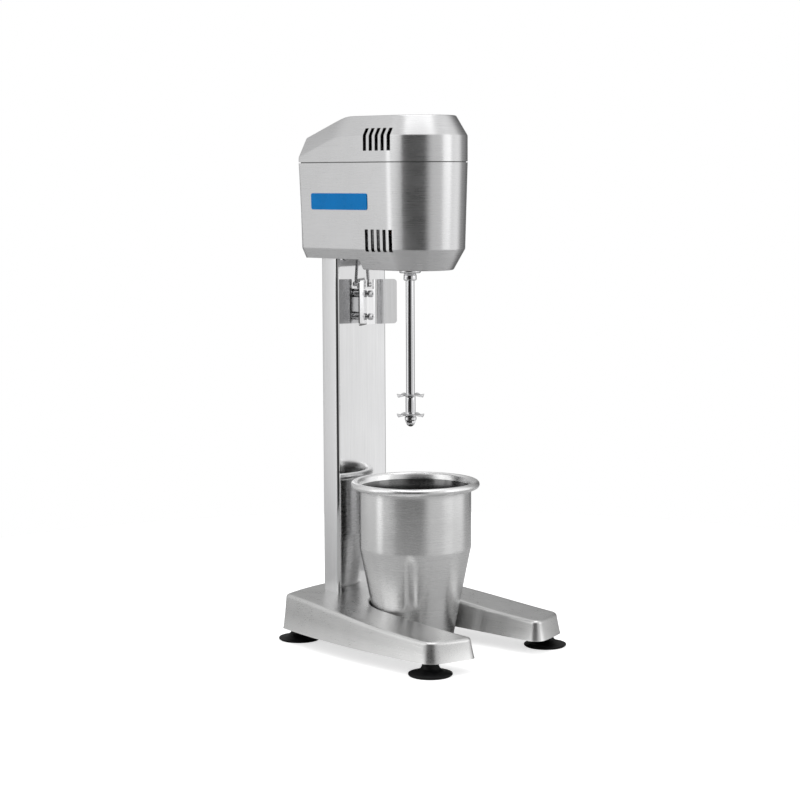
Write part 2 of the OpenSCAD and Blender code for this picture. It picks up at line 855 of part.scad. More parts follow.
module motor_through_bolts() {
    head = top_plate_z + 4;
    color(bright_grey)
        for (side = [-1, 1])
            translate([side * bolt_x, 0, head]) pan_screw(bolt_r, head - chassis_z + fit, 3.4, 2.6);
}

module stator_core() {
    bore = armature_r + air_gap;
    color(lamination)
        translate([0, 0, stator_z])
            difference() {
                linear_extrude(stator_h)
                    difference() {
                        union() {
                            difference() {
                                circle(stator_r);
                                circle(stator_r - stator_ring);
                            }
                            intersection() {
                                circle(stator_r - 1);
                                square([2 * pole_half, 2 * stator_r], center = true);
                            }
                        }
                        circle(bore);
                    }
                for (side = [-1, 1])
                    translate([side * bolt_x, 0, -over]) cylinder(h = stator_h + 2 * over, r = bolt_r + touch);
            }
}

// Two coils, each wound round a pole and standing out above and below the stack
module field_coils() {
    coil_t = 4;
    inner = armature_r + 2;
    outer = stator_r - stator_ring - fit;
    color(copper)
        for (side = [0, 1])
            mirror([0, side, 0])
                difference() {
                    translate([-pole_half - coil_t, 0, stator_z - coil_t])
                        cube([2 * (pole_half + coil_t), outer, stator_h + 2 * coil_t]);
                    translate([-pole_half - fit, -over, stator_z - fit])
                        cube([2 * (pole_half + fit), outer + 2 * over, stator_h + 2 * fit]);
                    translate([0, 0, stator_z - 2 * coil_t]) cylinder(h = 2 * stator_h, r = inner);
                    translate([0, 0, stator_z - 2 * coil_t])
                        difference() {
                            cylinder(h = 2 * stator_h, r = 2 * stator_r);
                            translate([0, 0, -over]) cylinder(h = 3 * stator_h, r = outer);
                        }
                }
}

module brush_holders() {
    color(plastic_black)
        for (side = [0, 1])
            mirror([0, side, 0])
                difference() {
                    translate([-5, commutator_r + 1.2, commutator_z + 1]) cube([10, 15, top_plate_z - commutator_z - 1]);
                    translate([-2.6, commutator_r, commutator_z + 3.4]) cube([5.2, 14, 6.2]);
                }
}

module carbon_brushes() {
    color([0.15, 0.15, 0.15])
        for (side = [0, 1])
            mirror([0, side, 0])
                difference() {
                    translate([-2.5, commutator_r - over, commutator_z + 3.5]) cube([5, 13, 6]);
                    translate([0, 0, commutator_z]) cylinder(h = commutator_h, r = commutator_r + run);
                }
}

module bearing(z) {
    color(bright_grey) translate([0, 0, z]) sleeve(bearing_r, shaft_r + run, bearing_h);
}

module spindle_boss() {
    color(steel_grey)
        difference() {
            union() {
                translate([0, 0, head_floor - boss_flange_t]) cylinder(h = boss_flange_t, r = boss_flange_r);
                translate([0, 0, head_floor - boss_flange_t])
                    cylinder(h = chassis_z - head_floor + boss_flange_t, r = boss_r);
            }
            translate([0, 0, head_floor - 2 * boss_flange_t]) cylinder(h = 3 * floor_step, r = boss_bore_r);
        }
}

/* ---- spindle and agitator ---- */

module motor_shaft() {
    color(bright_grey) translate([0, 0, shaft_joint_z + fit / 2])
        cylinder(h = shaft_top - shaft_joint_z - fit / 2, r = shaft_r);
}

module armature_core() {
    slots = 12;
    slot_w = 1.6;
    color(lamination)
        translate([0, 0, stator_z])
            difference() {
                cylinder(h = stator_h, r = armature_r);
                translate([0, 0, -over]) cylinder(h = stator_h + 2 * over, r = shaft_r);
                for (i = [0:slots - 1])
                    rotate([0, 0, i * 360 / slots])
                        translate([armature_r - 4, -slot_w / 2, -over]) cube([5, slot_w, stator_h + 2 * over]);
            }
}

module armature_winding() {
    end_h = 3.5;
    color(copper)
        for (z = [stator_z - end_h - fit, stator_top + fit])
            translate([0, 0, z]) sleeve(armature_r - 3, shaft_r, end_h);
}

module commutator() {
    bars = 24;
    color(copper)
        translate([0, 0, commutator_z])
            difference() {
                sleeve(commutator_r, shaft_r, commutator_h);
                for (i = [0:bars - 1])
                    rotate([0, 0, i * 360 / bars])
                        translate([commutator_r - 0.8, -0.2, -over]) cube([2, 0.4, commutator_h + 2 * over]);
            }
}

module cooling_fan() {
    blades = 9;
    fan_r = stator_r - 3.6 - 4.8;
    color(plastic_black)
        translate([0, 0, fan_z])
            difference() {
                union() {
                    cylinder(h = 1.6, r = fan_r);
                    cylinder(h = fan_h, r = shaft_r + 4);
                    for (i = [0:blades - 1])
                        rotate([0, 0, i * 360 / blades])
                            translate([shaft_r + 3, -0.8, 0]) cube([fan_r - shaft_r - 3.6, 1.6, fan_h]);
                }
                translate([0, 0, -over]) cylinder(h = fan_h + 2 * over, r = shaft_r);
            }
}

module shaft_collar() {
    color(bright_grey) translate([0, 0, collar_top - collar_h]) sleeve(collar_r, shaft_r, collar_h);
}

module agitator_shaft() {
    shoulder = disc_z + disc_pitch + ridge_r;
    color(bright_grey) {
        translate([0, 0, shoulder]) cylinder(h = shaft_joint_z - fit / 2 - shoulder, r = shaft_r);
        translate([0, 0, stub_bottom]) cylinder(h = shoulder - stub_bottom, r = stub_r);
    }
}

// Stirring disc with pressed radial ridges on both faces
module agitator_disc(z, turn) {
    color(bright_grey)
        translate([0, 0, z]) rotate([0, 0, turn])
            difference() {
                union() {
                    translate([0, 0, -disc_t / 2]) cylinder(h = disc_t, r = disc_r);
                    for (i = [0:ridge_count - 1])
                        rotate([0, 0, i * 360 / ridge_count])
                            translate([stub_r + 0.5, -ridge_r, -ridge_r])
                                cube([disc_r - stub_r - 1, 2 * ridge_r, 2 * ridge_r]);
                    translate([0, 0, -ridge_r]) cylinder(h = 2 * ridge_r, r = shaft_r);
                }
                translate([0, 0, -over]) cylinder(h = 2 * over, r = stub_r);
            }
}

module disc_spacer() {
    color(bright_grey) translate([0, 0, disc_z + ridge_r])
        sleeve(shaft_r, stub_r, disc_pitch - 2 * ridge_r);
}

module agitator_washer() {
    color(bright_grey) translate([0, 0, nut_top]) sleeve(washer_r, stub_r, washer_h);
}

// Domed nut that closes the lower end of the agitator
module agitator_nut() {
    color(bright_grey)
        difference() {
            union() {
                translate([0, 0, nut_top - nut_hex_h]) cylinder(h = nut_hex_h, r = nut_r, $fn = 6);
                intersection() {
                    translate([0, 0, nut_top - nut_hex_h]) sphere(0.8 * nut_r);
                    translate([0, 0, nut_top - nut_hex_h - nut_r]) cylinder(h = nut_r + 1, r = nut_r);
                }
            }
            translate([0, 0, stub_bottom]) cylinder(h = nut_hex_h + over, r = stub_r);
        }
}

/* ---- cup ---- */

// Half profile of the cup's sheet: foot, cone and straight wall, joined to the rolled rim
module mixing_cup() {
    foot_round = 1.6;
    flare = 5;
    neck_r = cup_r - 0.2;
    color(steel_grey)
        translate([0, -cup_offset, 0])
            rotate_extrude(convexity = 4) {
                polygon([
                    [0, 0], [cup_foot_r - foot_round, 0], [cup_foot_r, foot_round],
                    [cup_r - 0.6, cup_knee - 3], [cup_r, cup_knee + 3],
                    [cup_r, bead_z - flare], [bead_r - rim_bead + 0.4, bead_z],
                    [bead_r, cup_h], [bead_r - 1.4, cup_h - 0.3],
                    [bead_r - rim_bead - cup_t + 0.4, bead_z], [neck_r - cup_t, bead_z - flare],
                    [cup_r - cup_t, cup_knee + 3], [cup_r - cup_t - 0.6, cup_knee - 3],
                    [cup_foot_r - cup_t, foot_round], [cup_foot_r - cup_t - foot_round, cup_t], [0, cup_t]
                ]);
                translate([bead_r, bead_z]) circle(rim_bead);
            }
}

base_casting();
foot_at(-1, foot_front_x, -foot_front_y);  // foot_front_left
foot_at(1, foot_front_x, -foot_front_y);  // foot_front_right
foot_at(-1, foot_rear_x, foot_rear_y);  // foot_rear_left
foot_at(1, foot_rear_x, foot_rear_y);  // foot_rear_right
foot_studs();
column_tube();
column_foot_block();
column_foot_screws();
column_top_block();
head_chassis();
chassis_screws();
head_lower_shell();
shell_screws();
head_top_cover();
cover_screws();
label_plate();
cup_bracket();
bracket_spacers();
bracket_screws();
lever_bracket();
lever_pivot_pin();
lever_return_spring();
microswitch_body();
cable_gland();
gland_locknut();
terminal_block();
suppressor_capacitor();
lower_motor_bracket();
upper_motor_bracket();
motor_through_bolts();
stator_core();
field_coils();
brush_holders();
carbon_brushes();
bearing(low_bearing_z);  // lower_bearing
bearing(high_bearing_z);  // upper_bearing
spindle_boss();
motor_shaft();
armature_core();
armature_winding();
commutator();
cooling_fan();
shaft_collar();
agitator_shaft();
agitator_disc(disc_z + disc_pitch, 0);  // upper_agitator_disc
disc_spacer();
agitator_disc(disc_z, 180 / ridge_count);  // lower_agitator_disc
agitator_washer();
agitator_nut();
cup_lever();
switch_plunger();
mixing_cup();
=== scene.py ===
import json
import math

import bmesh
import bpy
from mathutils import Matrix, Vector
from mathutils.geometry import delaunay_2d_cdt


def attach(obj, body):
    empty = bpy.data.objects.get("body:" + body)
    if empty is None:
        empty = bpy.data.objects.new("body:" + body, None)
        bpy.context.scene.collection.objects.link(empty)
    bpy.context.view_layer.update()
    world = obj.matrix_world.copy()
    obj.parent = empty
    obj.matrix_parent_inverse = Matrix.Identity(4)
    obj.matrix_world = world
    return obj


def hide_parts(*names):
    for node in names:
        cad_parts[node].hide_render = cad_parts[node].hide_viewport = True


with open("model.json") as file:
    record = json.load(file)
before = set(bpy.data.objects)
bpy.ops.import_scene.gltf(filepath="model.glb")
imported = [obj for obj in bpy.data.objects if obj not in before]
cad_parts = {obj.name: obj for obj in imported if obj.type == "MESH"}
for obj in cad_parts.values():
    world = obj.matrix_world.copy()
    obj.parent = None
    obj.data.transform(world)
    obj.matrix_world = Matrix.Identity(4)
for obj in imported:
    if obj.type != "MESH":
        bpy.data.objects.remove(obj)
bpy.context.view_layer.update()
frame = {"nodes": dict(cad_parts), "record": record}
scene = bpy.context.scene
scene.view_settings.view_transform = "Standard"

# ---- Camera -------------------------------------------------------------------------------
# A long lens, a little above the middle of the machine and turned half way to its left side.
turn, dip, roll = math.radians(46.38), math.radians(6.166), math.radians(-0.215)
look = Vector((math.sin(turn) * math.cos(dip), math.cos(turn) * math.cos(dip), -math.sin(dip)))
camera_data = bpy.data.cameras.new("camera")
camera_data.lens = 92.85
camera_data.sensor_width = 36
camera_data.shift_x = -0.0131
camera_data.shift_y = -0.0015
camera_data.clip_end = 50
camera = bpy.data.objects.new("camera", camera_data)
scene.collection.objects.link(camera)
facing = look.to_track_quat("-Z", "Y").to_matrix().to_4x4()
camera.matrix_world = (
    Matrix.Translation(Vector((0, 0, 0.2282)) - 1.8888 * look) @ facing @ Matrix.Rotation(roll, 4, "Z")
)
scene.camera = camera

# ---- Table and light ----------------------------------------------------------------------
# A plain white table top under a white studio, with pale walls, two darker gaps between them
# and soft lamps above, so that the polished steel has something to mirror.
world = bpy.data.worlds.new("studio")
scene.world = world
world.use_nodes = True


class Value:
    """A socket that Python's own operators work on."""

    def __init__(self, tree, socket):
        self.tree, self.socket = tree, socket

    def maths(self, how, *others):
        return node(self.tree, "ShaderNodeMath", {"operation": how}, self, *others)

    def __add__(self, other):
        return self.maths("ADD", other)

    def __sub__(self, other):
        return self.maths("SUBTRACT", other)

    def __rsub__(self, other):
        return node(self.tree, "ShaderNodeMath", {"operation": "SUBTRACT"}, other, self)

    def __mul__(self, other):
        return self.maths("MULTIPLY", other)

    def __truediv__(self, other):
        return self.maths("DIVIDE", other)

    __radd__, __rmul__ = __add__, __mul__


def join(tree, socket, value):
    if isinstance(value, Value):
        tree.links.new(value.socket, socket)
    elif isinstance(value, (tuple, list)) and len(value) == 3 and socket.type == "RGBA":
        socket.default_value = (*value, 1)
    else:
        socket.default_value = value


def node(tree, kind, settings=None, *values, out=0, **named):
    """Any node: its settings first, then the values or links of its sockets."""
    made = tree.nodes.new(kind)
    for key, value in (settings or {}).items():
        if key == "stops":
            ramp = made.color_ramp
            while len(ramp.elements) < len(value):
                ramp.elements.new(0.5)
            for element, (place, shade) in zip(ramp.elements, value):
                element.position = place
                element.color = (shade, shade, shade, 1) if isinstance(shade, (int, float)) else (*shade, 1)
        elif key == "ease":
            made.color_ramp.interpolation = value
        else:
            setattr(made, key, value)
    for socket, value in zip(made.inputs, values):
        join(tree, socket, value)
    for key, value in named.items():
        join(tree, made.inputs[key.replace("_", " ")], value)
    return Value(tree, made.outputs[out]) if len(made.outputs) else None


tree = world.node_tree
tree.nodes.clear()
direction = node(tree, "ShaderNodeTexCoord", out=0)
parts = node(tree, "ShaderNodeSeparateXYZ", None, direction)
east, north, up = (Value(tree, parts.socket.node.outputs[i]) for i in range(3))
towards = (east * -0.7239 + north * -0.6899)
sideways = (east * 0.6899 + north * -0.7239)
around = sideways.maths("ARCTAN2", towards) / (2 * math.pi) + 0.5


def at(degrees):
    return 0.5 + degrees / 360


walls = node(
    tree,
    "ShaderNodeValToRGB",
    {
        "ease": "EASE",
        "stops": [
            (0.0, 0.36), (at(-140), 0.50), (at(-108), 0.72), (at(-91), 0.72), (at(-78), 1.5), (at(-64), 0.40),
            (at(-44), 0.12), (at(-22), 0.02), (at(10), 0.02), (at(34), 0.66), (at(60), 0.70), (at(84), 0.95),
            (at(106), 1.05), (at(128), 0.32), (at(158), 0.14), (1.0, 0.36),
        ],
    },
    around,
)
height = node(tree, "ShaderNodeMapRange", {"interpolation_type": "SMOOTHSTEP"}, up, 0.35, 0.85, 0.0, 1.0)
room = node(tree, "ShaderNodeMix", {"data_type": "RGBA"}, out=2)
room.socket.node.inputs[0].default_value = 0
tree.links.new(height.socket, room.socket.node.inputs[0])
tree.links.new(walls.socket, room.socket.node.inputs[6])
room.socket.node.inputs[7].default_value = (0.85, 0.85, 0.85, 1)
rays = tree.nodes.new("ShaderNodeLightPath")
lit = node(tree, "ShaderNodeBackground", None, room, 1.0)
white = node(tree, "ShaderNodeBackground", None, (1.0, 1.0, 1.0), 1.0)
seen = node(tree, "ShaderNodeMixShader", None, Value(tree, rays.outputs["Is Camera Ray"]), lit, white)
node(tree, "ShaderNodeOutputWorld", None, seen)


def lamp(name, place, size, power, aim=(0, 0, 0.25)):
    data = bpy.data.lights.new(name, "AREA")
    data.shape = "RECTANGLE"
    data.size, data.size_y = size
    data.energy = power
    thing = bpy.data.objects.new(name, data)
    scene.collection.objects.link(thing)
    way = Vector(aim) - Vector(place)
    thing.matrix_world = Matrix.Translation(place) @ way.to_track_quat("-Z", "Y").to_matrix().to_4x4()


lamp("left_softbox", (-1.9, 0.35, 0.9), (0.9, 1.4), 3.5)
lamp("right_softbox", (0.75, -1.75, 0.8), (0.8, 1.3), 2.5)
lamp("top_softbox", (-0.1, -0.1, 1.8), (1.4, 1.4), 6)

table_mesh = bpy.data.meshes.new("table")
table_edge = [(0.75 * math.cos(math.radians(a)), 0.75 * math.sin(math.radians(a)), 0) for a in range(0, 360, 5)]
table_mesh.from_pydata(table_edge, [], [tuple(range(72))])
table = bpy.data.objects.new("table", table_mesh)
scene.collection.objects.link(table)
table_top = bpy.data.materials.new("white_table")
table_top.use_nodes = True
tree = table_top.node_tree
tree.nodes.clear()
rays = tree.nodes.new("ShaderNodeLightPath")
# Painted shade: everything but the camera sees a darker copy of the table (0.50 against 0.80 with glow), which darkens
# its reflections in the steel and the light it throws back under the machine.
shaded_table_copy = node(tree, "ShaderNodeBsdfDiffuse", None, (0.50, 0.50, 0.50), 0.0)
lighter = node(tree, "ShaderNodeBsdfDiffuse", None, (0.80, 0.80, 0.80), 0.0)
glow = node(tree, "ShaderNodeEmission", None, (1.0, 1.0, 1.0), 0.66)
both = node(tree, "ShaderNodeAddShader", None, lighter, glow)
shown = node(tree, "ShaderNodeMixShader", None, Value(tree, rays.outputs["Is Camera Ray"]), shaded_table_copy, both)
node(tree, "ShaderNodeOutputMaterial", None, shown)
table_mesh.materials.append(table_top)

# ---- Base ---------------------------------------------------------------------------------
# One aluminium casting, U-shaped in plan, with drafted sides and rounded top edges. It is
# ground along its length and lightly polished, so that its edges catch the light.
MM = 0.001


def finish_of(name, metal=1.0, shade=(0.7, 0.7, 0.7), rough=0.3, coat=0.0):
    material = bpy.data.materials.new(name)
    material.use_nodes = True
    inside = material.node_tree
    surface = inside.nodes["Principled BSDF"]
    surface.inputs["Metallic"].default_value = metal
    surface.inputs["Base Color"].default_value = (*shade, 1)
    surface.inputs["Roughness"].default_value = rough
    surface.inputs["Coat Weight"].default_value = coat
    return material, inside, surface


def noise(inside, stretch, detail=3.0, scale=1.0, rough=0.6):
    """Noise on the piece's own coordinates, finest along the axes with the largest stretch."""
    place = node(inside, "ShaderNodeTexCoord", out=3)
    spread = node(inside, "ShaderNodeMapping", None, place, Scale=stretch)
    return node(inside, "ShaderNodeTexNoise", None, Vector=spread, Scale=scale, Detail=detail, Roughness=rough)


def ranged(value, low, high, start=0.3, end=0.7):
    return node(value.tree, "ShaderNodeMapRange", None, value, start, end, low, high)


def brushed(name, grain, shade, rough, depth=0.08, cloud=0.10, pull=0.0):
    """Steel or aluminium with fine scratches across the axes that grain stretches most. Level
    brushing all round a piece pulls its reflections upright, by the amount pull."""
    material, inside, surface = finish_of(name)
    surface.inputs["Anisotropic"].default_value = pull
    surface.inputs["Anisotropic Rotation"].default_value = 0.25
    scratch = noise(inside, grain, 4.0, 1.0, 0.7)
    blotch = noise(inside, (22, 22, 22), 3.0)
    tone = ranged(scratch, 0.94, 1.05) * ranged(blotch, 1.0 - cloud / 2, 1.0 + cloud / 2)
    colour = node(inside, "ShaderNodeVectorMath", {"operation": "SCALE"}, shade, Scale=tone)
    join(inside, surface.inputs["Base Color"], colour)
    join(inside, surface.inputs["Roughness"], ranged(scratch, rough * 0.8, rough * 1.25) + ranged(blotch, -0.03, 0.03))
    bump = node(inside, "ShaderNodeBump", None, depth, 0.0004, Height=scratch)
    join(inside, surface.inputs["Normal"], bump)
    return material


def piece(name, points, faces, material, body, replaces=(), slot=None, smooth=40, clean=True):
    mesh = bpy.data.meshes.new(name)
    mesh.from_pydata([tuple(c * MM for c in p) for p in points], [], faces)
    work = bmesh.new()
    work.from_mesh(mesh)
    if clean:
        bmesh.ops.remove_doubles(work, verts=work.verts, dist=2e-6)
        bmesh.ops.dissolve_degenerate(work, edges=work.edges, dist=1e-7)
    bmesh.ops.delete(work, geom=[v for v in work.verts if not v.link_faces], context="VERTS")
    bmesh.ops.recalc_face_normals(work, faces=work.faces)
    work.to_mesh(mesh)
    work.free()
    thing = bpy.data.objects.new(name, mesh)
    scene.collection.objects.link(thing)
    mesh.materials.append(material)
    shade_smooth(mesh, smooth)
    if body:
        settle(thing, body, replaces)
    return thing


def shade_smooth(mesh, smooth):
    mesh.shade_smooth()
    mesh.set_sharp_from_angle(angle=math.radians(smooth))


def settle(thing, body, replaces=()):
    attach(thing, body)
    if replaces:
        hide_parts(*replaces)


def turned(name, profile, material, body, centre=(0, 0), steps=96, dent=None, **kept):
    """A piece turned on a vertical axis. The profile runs from axis to axis, or round a ring."""
    points, faces = [], []
    count = len(profile)
    for i in range(steps):
        a = 2 * math.pi * i / steps
        for r, z in profile:
            s = r - (dent(a, z, r) if dent else 0)
            points.append((centre[0] + s * math.cos(a), centre[1] + s * math.sin(a), z))
    closed = profile[0][0] > 0.01
    for i in range(steps):
        j = (i + 1) % steps
        for k in range(count if closed else count - 1):
            n = (k + 1) % count
            faces.append((i * count + k, j * count + k, j * count + n, i * count + n))
    return piece(name, points, faces, material, body, **kept)


def rounded(corners, closed=False, steps=5):
    """A line through (x, y, radius) corners, each turned into an arc."""
    line, count = [], len(corners)
    for i, (x, y, r) in enumerate(corners):
        if r <= 0 or (not closed and i in (0, count - 1)):
            line.append((x, y))
            continue
        here = Vector((x, y))
        before = (Vector(corners[i - 1][:2]) - here).normalized()
        after = (Vector(corners[(i + 1) % count][:2]) - here).normalized()
        half = before.angle(after) / 2
        reach = r / math.tan(half)
        centre = here + (before + after).normalized() * (r / math.sin(half))
        start, end = here + before * reach - centre, here + after * reach - centre
        sweep = start.angle_signed(end)
        for k in range(steps + 1):
            a = -sweep * k / steps
            line.append(tuple(centre + Matrix.Rotation(a, 2) @ start))
    return line


base_clear, rear_top, front_top = 12.6, 45.0, 30.5
cup_y = -5.6
cup_at = Vector((0, cup_y))
leg_gap = 38.9


def top_of_base(y):
    t = min(1, max(0, (y + 135) / 240))
    return front_top + (rear_top - front_top) * (1 - math.cos(math.pi * t)) / 2


def crossing(c1, r1, c2, r2):
    gap = (c2 - c1).length
    along = (r1 * r1 - r2 * r2 + gap * gap) / (2 * gap)
    u = (c2 - c1) / gap
    return c1 + u * along - math.sqrt(r1 * r1 - along * along) * Vector((-u.y, u.x))


def heading(v):
    return math.atan2(v.y, v.x)


def bow(centre, r, start, end, steps):
    return [
        (centre.x + r * math.cos(start + (end - start) * i / steps), centre.y + r * math.sin(start + (end - start) * i / steps))
        for i in range(steps + 1)
    ]


def base_outline(inset):
    rear, side, front = Vector((0, 108 - 240)), Vector((92 - 700, -60)), Vector((0, 255 - 124))
    rc = crossing(rear, 240 - 9, side, 700 - 9)
    fc = crossing(side, 700 - 16, front, 255 - 16)
    ix = leg_gap + 10
    ic = Vector((ix, front.y - math.sqrt((255 - 10) ** 2 - ix * ix)))
    half = (
        bow(rear, 240 - inset, math.pi / 2, heading(rc - rear), 14)
        + bow(rc, 9 - inset, heading(rc - rear), heading(rc - side), 10)
        + bow(side, 700 - inset, heading(rc - side), heading(fc - side), 30)
        + bow(fc, 16 - inset, heading(fc - side), heading(fc - front), 12)
        + bow(front, 255 - inset, heading(fc - front), heading(ic - front), 8)
        + bow(ic, 10 - inset, heading(ic - front), -math.pi, 10)
        + [(leg_gap + inset, ic.y + (cup_y - ic.y) * i / 14) for i in range(1, 14)]
        + bow(cup_at, leg_gap + inset, 0, math.pi / 2, 30)
    )
    return half[1:-1] + [(-x, y) for x, y in reversed(half[1:-1])]


def cap(points, faces, ring, lift, flip, grid=7.0):
    """Covers a ring of the outline with a fine net that follows the height given by lift."""
    edge = [Vector(points[i][:2]) for i in ring]
    inner = []
    for gx in range(-13, 14):
        for gy in range(-18, 17):
            spot = Vector((gx * grid, gy * grid))
            if min((spot - e).length for e in edge) > 3:
                inner.append(spot)
    count = len(edge)
    spots, _, tris, origins, _, _ = delaunay_2d_cdt(
        edge + inner, [(i, (i + 1) % count) for i in range(count)], [list(range(count))], 1, 1e-4
    )
    index = {}
    for i, spot in enumerate(spots):
        known = [o for o in origins[i] if o < count]
        if known:
            index[i] = ring[known[0]]
        else:
            index[i] = len(points)
            points.append((spot.x, spot.y, lift(spot.y)))
    for tri in tris:
        corners = [index[i] for i in tri]
        faces.append(corners[::-1] if flip else corners)


def casting():
    draft, edge_r = 3.3, 3.2
    levels = [(0.0, None, base_clear), (0.5, None, base_clear + 1.2)]
    levels += [(0.5 + draft * 0.5, 0.5, None), (draft, -edge_r, None)]
    for k in range(1, 7):
        a = math.radians(90 * k / 6)
        levels.append((draft + edge_r * (1 - math.cos(a)), -edge_r * (1 - math.sin(a)), None))
    points, faces, rings = [], [], []

    def ring(inset, height):
        start = len(points)
        points.extend((x, y, height(x, y)) for x, y in base_outline(inset))
        rings.append(list(range(start, len(points))))

    ring(4.6, lambda x, y: 25.0)
    ring(4.4, lambda x, y: base_clear + 0.4)
    ring(4.0, lambda x, y: base_clear)
    for inset, drop, fixed in levels:
        if fixed is not None:
            ring(inset, lambda x, y, f=fixed: f)
        elif drop == 0.5:
            ring(inset, lambda x, y: (base_clear + top_of_base(y)) / 2)
        else:
            ring(inset, lambda x, y, d=drop: top_of_base(y) + d)
    for low, high in zip(rings, rings[1:]):
        for i in range(len(low)):
            j = (i + 1) % len(low)
            faces.append((low[i], low[j], high[j], high[i]))
    cap(points, faces, rings[-1], top_of_base, False)
    cap(points, faces, rings[0], lambda y: 25.0, True, 12.0)
    return points, faces


cast_finish = brushed("ground_casting", (1500, 24, 1500), (0.70, 0.70, 0.695), 0.31, 0.08, 0.12)
points, faces = casting()
piece("cast_base", points, faces, cast_finish, "machine", ["base_casting"], "cast_aluminium", smooth=30)

# ---- Feet ---------------------------------------------------------------------------------
# Four black rubber suction feet: a thin disc with a soft edge, a waist and a neck that is
# bolted to the casting.
rubber, inside, surface = finish_of("black_rubber", 0.0, (0.004, 0.004, 0.0045), 0.5)
surface.inputs["Specular IOR Level"].default_value = 0.22
grit = noise(inside, (1500, 1500, 1500), 2.0)
dust = noise(inside, (90, 90, 90), 3.0)
join(inside, surface.inputs["Roughness"], ranged(dust, 0.42, 0.60))
tint = node(inside, "ShaderNodeValToRGB", {"stops": [(0.35, (0.003, 0.003, 0.0035)), (0.75, (0.008, 0.008, 0.0085))]}, dust)
join(inside, surface.inputs["Base Color"], tint)
join(inside, surface.inputs["Normal"], node(inside, "ShaderNodeBump", None, 0.12, 0.0002, Height=grit))

foot_line = rounded(
    [(0, 2.4, 0), (8, 2.2, 2), (15, 0.0, 1.2), (18.2, 0.0, 0.9), (19.5, 1.0, 0.7), (19.5, 2.2, 0.6), (12.0, 4.2, 3),
     (8.6, 6.4, 1.4), (7.4, 9.0, 2), (7.6, 12.6, 0), (0, 12.6, 0)]
)
for name, x, y in (
    ("front_left", -77.4, -96.4), ("front_right", 77.4, -96.4), ("rear_left", -57, 90), ("rear_right", 57, 90)
):
    turned("rubber_foot_" + name, foot_line, rubber, "machine", (x, y), 64, replaces=["foot_" + name], slot="black_rubber")

# ---- Column -------------------------------------------------------------------------------
# A rectangular stainless tube with rounded corners, let into the casting. Its front is
# mirror polished, its sides and back are left satin.
column_front, column_w, column_d = 61.8, 64.5, 21.5
column_metal, inside, surface = finish_of("column_steel", 1.0, (0.72, 0.72, 0.73), 0.2)
streak = noise(inside, (1000, 1000, 9), 4.0, 1.0, 0.7)
smear = noise(inside, (30, 30, 14), 3.0)
spot = node(inside, "ShaderNodeSeparateXYZ", None, node(inside, "ShaderNodeTexCoord", out=3), out=1)
front = ranged(spot, 1.0, 0.0, (column_front + 2.4) * MM, (column_front + 3.1) * MM)
satin = ranged(streak, 0.27, 0.40) + ranged(smear, -0.02, 0.04)
polish = ranged(smear, 0.055, 0.10)
join(inside, surface.inputs["Roughness"], satin * (1 - front) + polish * front)
tone = ranged(streak, 0.95, 1.04) * ranged(smear, 0.97, 1.03)
join(inside, surface.inputs["Base Color"], node(inside, "ShaderNodeVectorMath", {"operation": "SCALE"}, (0.74, 0.74, 0.745), Scale=tone))
join(inside, surface.inputs["Normal"], node(inside, "ShaderNodeBump", None, 0.05, 0.0003, Height=streak * (1 - front * 0.9)))

half_w = column_w / 2
plan = rounded(
    [(-half_w, column_front, 3), (half_w, column_front, 3), (half_w, column_front + column_d, 3), (-half_w, column_front + column_d, 3)],
    closed=True, steps=8,
)
points, faces, count = [], [], len(plan)
column_foot = top_of_base(column_front) - 3
for z in (column_foot, 120, 200, 280, 398):
    points += [(x, y, z) for x, y in plan]
for k in range(4):
    faces += [(k * count + i, k * count + (i + 1) % count, (k + 1) * count + (i + 1) % count, (k + 1) * count + i) for i in range(count)]
faces += [tuple(range(count))[::-1], tuple(4 * count + i for i in range(count))]
piece("column", points, faces, column_metal, "machine", ["column_tube", "column_foot_block", "column_top_block"], "polished_steel", smooth=25)

# ---- Head shell and cover -----------------------------------------------------------------
# Two pressings of thin stainless sheet, brushed level: round at the front, square behind,
# bevelled above and below. Ventilation slots are punched across the bevels on both sides.
head_half, nose_y, head_back = 44.0, -11.5, 100.5
shell_t = 1.2
head_steel = brushed("brushed_head", (26, 26, 3400), (0.71, 0.71, 0.715), 0.29, 0.035, 0.05, 0.88)
side_stops = sorted(set([nose_y + i * 5.5 for i in range(1, 20)] + [28.9, 29.1, 95, 98]))


def d_plan(inset_at, level):
    """Half of the plan, from the tip of the nose to the middle of the back, as (x, y)."""
    half = []
    for i in range(1, 49):
        a = -math.pi / 2 + math.pi / 2 * i / 48
        r = head_half - inset_at(0, level)
        half.append((r * math.cos(a), nose_y + r * math.sin(a)))
    for y in side_stops:
        half.append((head_half - inset_at(y, level), y))
    corner = 2.0
    x = head_half - inset_at(head_back, level)
    back = head_back - level[2]
    for i in range(5):
        a = math.pi / 2 * i / 4
        half.append((x - corner + corner * math.cos(a), back - corner + corner * math.sin(a)))
    half.append((x / 2, back))
    return half


def d_shell(levels, height, inset_at):
    """Skins between levels (inset, z, back inset) on the plan, closed by a cap at the last one."""
    points, rings = [], []
    for level in levels:
        half = d_plan(inset_at, level)
        tip = (0, nose_y - head_half + inset_at(-99, level))
        middle = (0, head_back - level[2])
        line = [tip] + half + [middle] + [(-x, y) for x, y in reversed(half)]
        rings.append(range(len(points), len(points) + len(line)))
        points += [(x, y, height(y, level)) for x, y in line]
    faces = []
    for low, high in zip(rings, rings[1:]):
        for i in range(len(low)):
            j = (i + 1) % len(low)
            faces.append((low[i], low[j], high[j], high[i]))
    last = rings[-1]
    count = len(last)
    for i in range(count // 2):
        a, b = last[i], last[i + 1]
        c, d = last[(count - i - 1) % count], last[(count - i) % count]
        faces.append(tuple(dict.fromkeys((a, b, c, d))))
    return points, faces, rings


